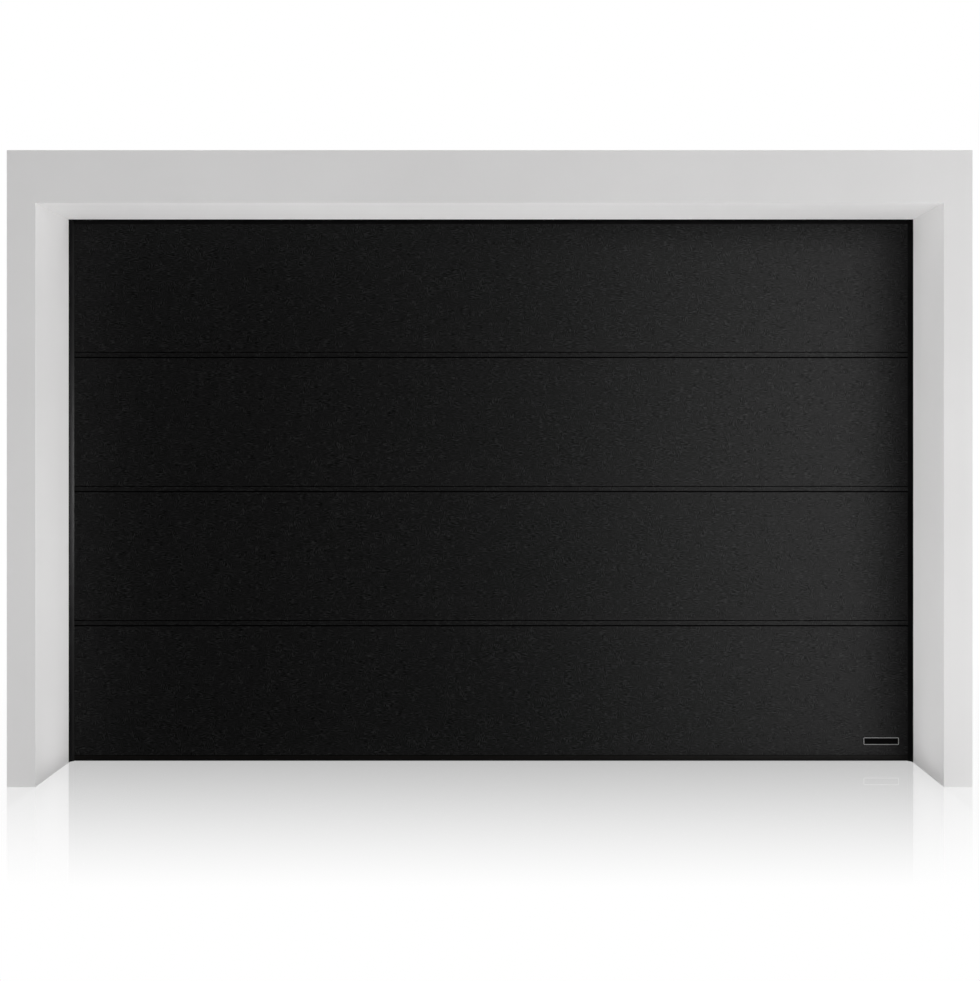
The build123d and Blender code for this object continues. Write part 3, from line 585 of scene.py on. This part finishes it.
def bearing_races():
    """Rings round the roller stems on the wheels' faces, and round the shaft on its plates.

    Each is a turned outline: a raised inner ring, a hollow for the balls, a raised outer ring."""
    wheels = [(TRACK_Y, 0.080), (0.1073, 2.1863)]
    wheels += [(TRACK_Y, joint + 0.038) for joint in JOINTS]
    small = [
        (0.0002, 0.0154), (-0.0009, 0.0152), (-0.0010, 0.0134), (-0.0003, 0.0124),
        (-0.0003, 0.0104), (-0.0010, 0.0096), (-0.0011, 0.0058),
    ]
    large = [
        (-0.0002, 0.0206), (0.0022, 0.0203), (0.0024, 0.0184), (0.0010, 0.0176),
        (0.0010, 0.0160), (0.0024, 0.0152), (0.0026, 0.0131),
    ]
    skins = []
    for side in (1, -1):
        for y, z in wheels:
            rows = [(h, r, 0) for h, r in small]
            skins.append(turned((side * 1.7765, y, z), (side, 0, 0), rows, 28))
        rows = [(h, r, 0) for h, r in large]
        skins.append(turned((side * 1.8125, SHAFT_Y, SHAFT_Z), (side, 0, 0), rows, 32))
    return closed_skins("bearing_races", skins, FINISHES["stem_steel"])


def coil_spring(side):
    """A close wound spring: a circle carried along a helix.

    At turn t the wire's middle is at x = start + pitch * t / (2 pi) and radius r round the
    shaft, and its skin is w * (cos(u) * spoke + sin(u) * x axis) away from there."""
    low, high, wire, reach = 0.0195, 0.6695, 0.0034, 0.0275
    turns, steps, around = 90, 32, 8
    turn = np.linspace(0, 2 * pi * turns, turns * steps + 1)[:, None]
    u = (np.arange(around) * 2 * pi / around)[None, :]
    x = low + wire + (high - low - 2 * wire) * turn / turn[-1] + wire * np.sin(u)
    radius = reach + wire * np.cos(u)
    skin = np.stack(
        [side * x, SHAFT_Y + radius * np.cos(turn), SHAFT_Z + radius * np.sin(turn)], -1
    )
    name = "coil_spring_right" if side > 0 else "coil_spring_left"
    piece = closed_skins(name, [skin], FINISHES["spring_steel"])
    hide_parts("torsion_spring_right" if side > 0 else "torsion_spring_left")
    return piece


def joint_gaskets():
    """A rubber bead at the back of each joint's open gap, a half ellipse carried along X."""
    turn = np.linspace(-pi / 2, pi / 2, 9)
    skins = []
    for joint in JOINTS:
        y = -0.0101 - 0.0030 * np.cos(turn)
        z = joint + 0.0019 * np.sin(turn)
        skins.append([np.stack([np.full_like(y, x), y, z], -1) for x in (-1.764, 1.764)])
    return closed_skins("joint_gaskets", skins, GASKET)


def badge_plate():
    """A bare black plate with a thin pale border, low at the right on the leaf's face.

    Each row is a rounded rectangle: corner arcs of radius c about four corner centres, all
    drawn in by the row's inset, at the row's y."""
    low, high, corner = np.array((1.548, 0.0665)), np.array((1.698, 0.100)), 0.006
    middle, half = (low + high) / 2, (high - low) / 2
    turn = (np.arange(32) + 0.5) * 2 * pi / 32
    way = np.stack([np.cos(turn), np.sin(turn)], -1)
    rows = [
        (0.0, 0.0004), (0.0, -0.0010), (0.0003, -0.0013), (0.0016, -0.0013),
        (0.0018, -0.0015), (0.0040, -0.0015), (0.0042, -0.0013), (0.0080, -0.0013),
    ]
    skin = []
    for inset, out in rows:
        arc = max(corner - inset, 0.001)
        flat = middle + np.sign(way) * (half - inset - arc) + way * arc
        skin.append(np.insert(flat, 1, LEAF_FRONT + out, axis=1))
    return closed_skins("badge_plate", [np.array(skin)], PLATE, (3, 4, 5), False)


dress_nodes()
leaf_screws()
cap_rivets()
track_nuts()
track_bolt_heads()
wall_anchors()
crossbar_bolts()
set_screws()
bearing_races()
coil_spring(1)
coil_spring(-1)
joint_gaskets()
badge_plate()


# Studio

def light_path(start, *kinds):
    """For each kind of ray, 1 where the surface is met by such a ray and 0 elsewhere."""
    return [start.make("ShaderNodeLightPath", output=f"Is {kind} Ray") for kind in kinds]


def studio_floor():
    """A level polished plane of 40 m, white, that mirrors less and less away from the wall.

    The mirror ends at a reach of 1.4 m, is stronger beside the doorway, and shows only to the
    camera. Shiny surfaces in front see through the floor."""
    u, v = np.meshgrid(np.linspace(-20, 20, 9), np.linspace(-20, 20, 9), indexing="ij")
    points = np.stack([u, v, np.full_like(u, -0.0005)], -1).reshape(-1, 3)
    index = np.arange(81).reshape(9, 9)
    quads = np.stack([index[:-1, :-1], index[1:, :-1], index[1:, 1:], index[:-1, 1:]], -1)
    mesh = bpy.data.meshes.new("studio_floor")
    mesh.from_pydata(points.tolist(), [], quads.reshape(-1, 4).tolist())
    floor = bpy.data.objects.new("studio_floor", mesh)
    bpy.context.scene.collection.objects.link(floor)
    finish = Finish("studio_floor", None)
    place = finish.place
    x, y, z = place.axes()
    beside = place.math("MAXIMUM", abs(x) - (DOORWAY_SIDE - 0.07), 0.0)
    before = place.math("MAXIMUM", LEAF_FRONT - y, y - TRACKS_END)
    before = place.math("MAXIMUM", before, 0.0)
    away = (beside ** 2.0 + before ** 2.0) ** 0.5
    far = away.smooth(0.2, 1.35, 0.90, 1.0)
    pier = abs(x).smooth(DOORWAY_SIDE - 0.005, DOORWAY_SIDE + 0.005)
    reach, share, more_beside = 1.4, 0.312, 0.105
    mirror = place.math("MAXIMUM", (reach - away) * (share + pier * more_beside), 0.0)
    camera, glossy, through = light_path(place, "Camera", "Glossy", "Transmission")
    seen = place.math("MINIMUM", camera + glossy * 0.15 + through, 1.0)
    matt = place.make("ShaderNodeBsdfDiffuse", {"Color": grey(0.88)})
    gloss = place.make("ShaderNodeBsdfGlossy", {"Color": grey(1.0), "Roughness": 0.0})
    white = place.make("ShaderNodeEmission", {"Color": grey(1.0), "Strength": 1.0})
    plain = place.make("ShaderNodeMixShader", {0: far * seen, 1: matt, 2: white})
    surface = place.make("ShaderNodeMixShader", {0: mirror * camera, 1: plain, 2: gloss})
    clear = place.make("ShaderNodeBsdfTransparent")
    gone = glossy * y.smooth(0.0, -0.3) * 0.95
    surface = place.make("ShaderNodeMixShader", {0: gone, 1: surface, 2: clear})
    place.make("ShaderNodeOutputMaterial", {"Surface": surface})
    mesh.materials.append(finish.material)
    return floor


def studio_world():
    """White for the camera and the floor's mirror; a plain grey dome for light.

    Shiny surfaces find it white behind the wall and dim in front, where the leaf's sheen is."""
    world = bpy.data.worlds.new("studio")
    bpy.context.scene.world = world
    world.use_nodes = True
    world.node_tree.nodes.clear()
    start = Signal(world.node_tree)
    camera, glossy, through, sharp = light_path(start, "Camera", "Glossy", "Transmission", "Singular")
    way = start.make("ShaderNodeTexCoord", output="Generated").axes()
    behind = way[1].smooth(-0.10, 0.35)
    white = start.math("MINIMUM", camera + through + sharp + glossy * behind, 1.0)
    plain = glossy * GLOSS_DIM + (1.0 - glossy) * AMBIENT
    strength = white + (1.0 - white) * plain
    light = start.make("ShaderNodeBackground", {"Color": grey(1.0), "Strength": strength})
    start.make("ShaderNodeOutputWorld", {"Surface": light})


def softbox(name, place, aim, width, height, radiance, matt=True, mirrored=False, lit=(), spared=()):
    """A rectangular lamp of even brightness, unseen by the camera.

    It gives plain light if matt and shows in shiny surfaces if mirrored. It works on all that is
    lit, or without lit on all but what is spared."""
    lamp = bpy.data.lights.new(name, "AREA")
    lamp.shape = "RECTANGLE"
    lamp.size, lamp.size_y = width, height
    lamp.energy = radiance * pi * width * height
    box = bpy.data.objects.new(name, lamp)
    box.location = place
    way = Vector(aim) - Vector(place)
    box.rotation_euler = way.to_track_quat("-Z", "Y").to_euler()
    box.visible_camera = False
    box.visible_diffuse = matt
    box.visible_glossy = mirrored
    bpy.context.scene.collection.objects.link(box)
    if lit or spared:
        group = bpy.data.collections.new(name)
        for piece in lit or spared:
            group.objects.link(piece)
        for entry in group.collection_objects:
            entry.light_linking.link_state = "INCLUDE" if lit else "EXCLUDE"
        box.light_linking.receiver_collection = group


AMBIENT = 0.37
GLOSS_DIM = 0.04
WALL = [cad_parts[name] for name in ("wall_pier_left", "wall_pier_right", "wall_lintel")]
LIP = [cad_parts["side_seal_left"]]
floor = studio_floor()
studio_world()

# Plain light from all round, and in mirror_box the sheen on the right of the leaf
softbox("front_box", (2.9, -6.0, 1.4), (1.6, 0.0, 1.2), 4.0, 3.6, 0.6)
softbox("low_front_box", (0.6, -5.0, 0.25), (0.2, 0.0, 0.7), 5.0, 0.5, 2.8)
softbox("wash_box", (0.0, -2.5, 0.3), (0.0, -0.39, 0.6), 4.5, 0.4, 1.0, lit=WALL)
softbox("mirror_box", (3.5, -6.0, 1.0), (1.6, 0.0, 1.0), 4.2, 7.0, 5.8, False, True, spared=[floor])
softbox("back_box", (0.0, 9.0, 3.0), (0.0, 0.0, 1.2), 5.0, 3.0, 7.0)
softbox("top_box", (0.0, 3.0, 7.0), (0.0, 0.9, 2.0), 5.0, 3.0, 1.6)
softbox("near_right_box", (4.2, -3.4, 0.8), (1.8, 0.0, 1.0), 1.6, 2.0, 3.6)
softbox("far_right_box", (12.0, -3.0, 2.0), (0.0, 0.0, 1.0), 4.0, 4.0, 9.4)
softbox("far_left_box", (-12.0, -3.0, 2.0), (0.0, 0.0, 1.0), 4.0, 4.0, 9.5)

# Light thrown back on the wall's reveals, and a streak down the left lip
softbox("sill_box", (0.0, -0.20, 0.01), (0.0, -0.20, 2.0), 3.3, 0.30, 1.1, lit=WALL)
softbox("soffit_box", (0.1, -0.21, 0.01), (0.1, -0.21, 2.0), 3.5, 0.28, 12.6, lit=WALL[2:])
softbox("reveal_box", (0.0, -0.21, 0.01), (0.0, -0.21, 2.0), 0.8, 0.28, 30.5, lit=WALL[:2])
softbox("lip_box", (-1.35, -0.45, 1.13), (-1.74, -0.02, 1.13), 0.25, 0.7, 30.0, True, True, LIP)

# The photograph's camera, fitted to the corners of wall and doorway
camera = bpy.data.cameras.new("camera")
camera.sensor_width = 36.0
camera.lens = 43.994
camera.shift_x = -0.01886
camera.shift_y = -0.0533
viewer = bpy.data.objects.new("camera", camera)
viewer.location = (0.0727, -5.008, 1.3433)
viewer.rotation_euler = (pi / 2, 0.0, 0.0)
bpy.context.scene.collection.objects.link(viewer)
bpy.context.scene.camera = viewer
bpy.context.scene.view_settings.view_transform = "Standard"
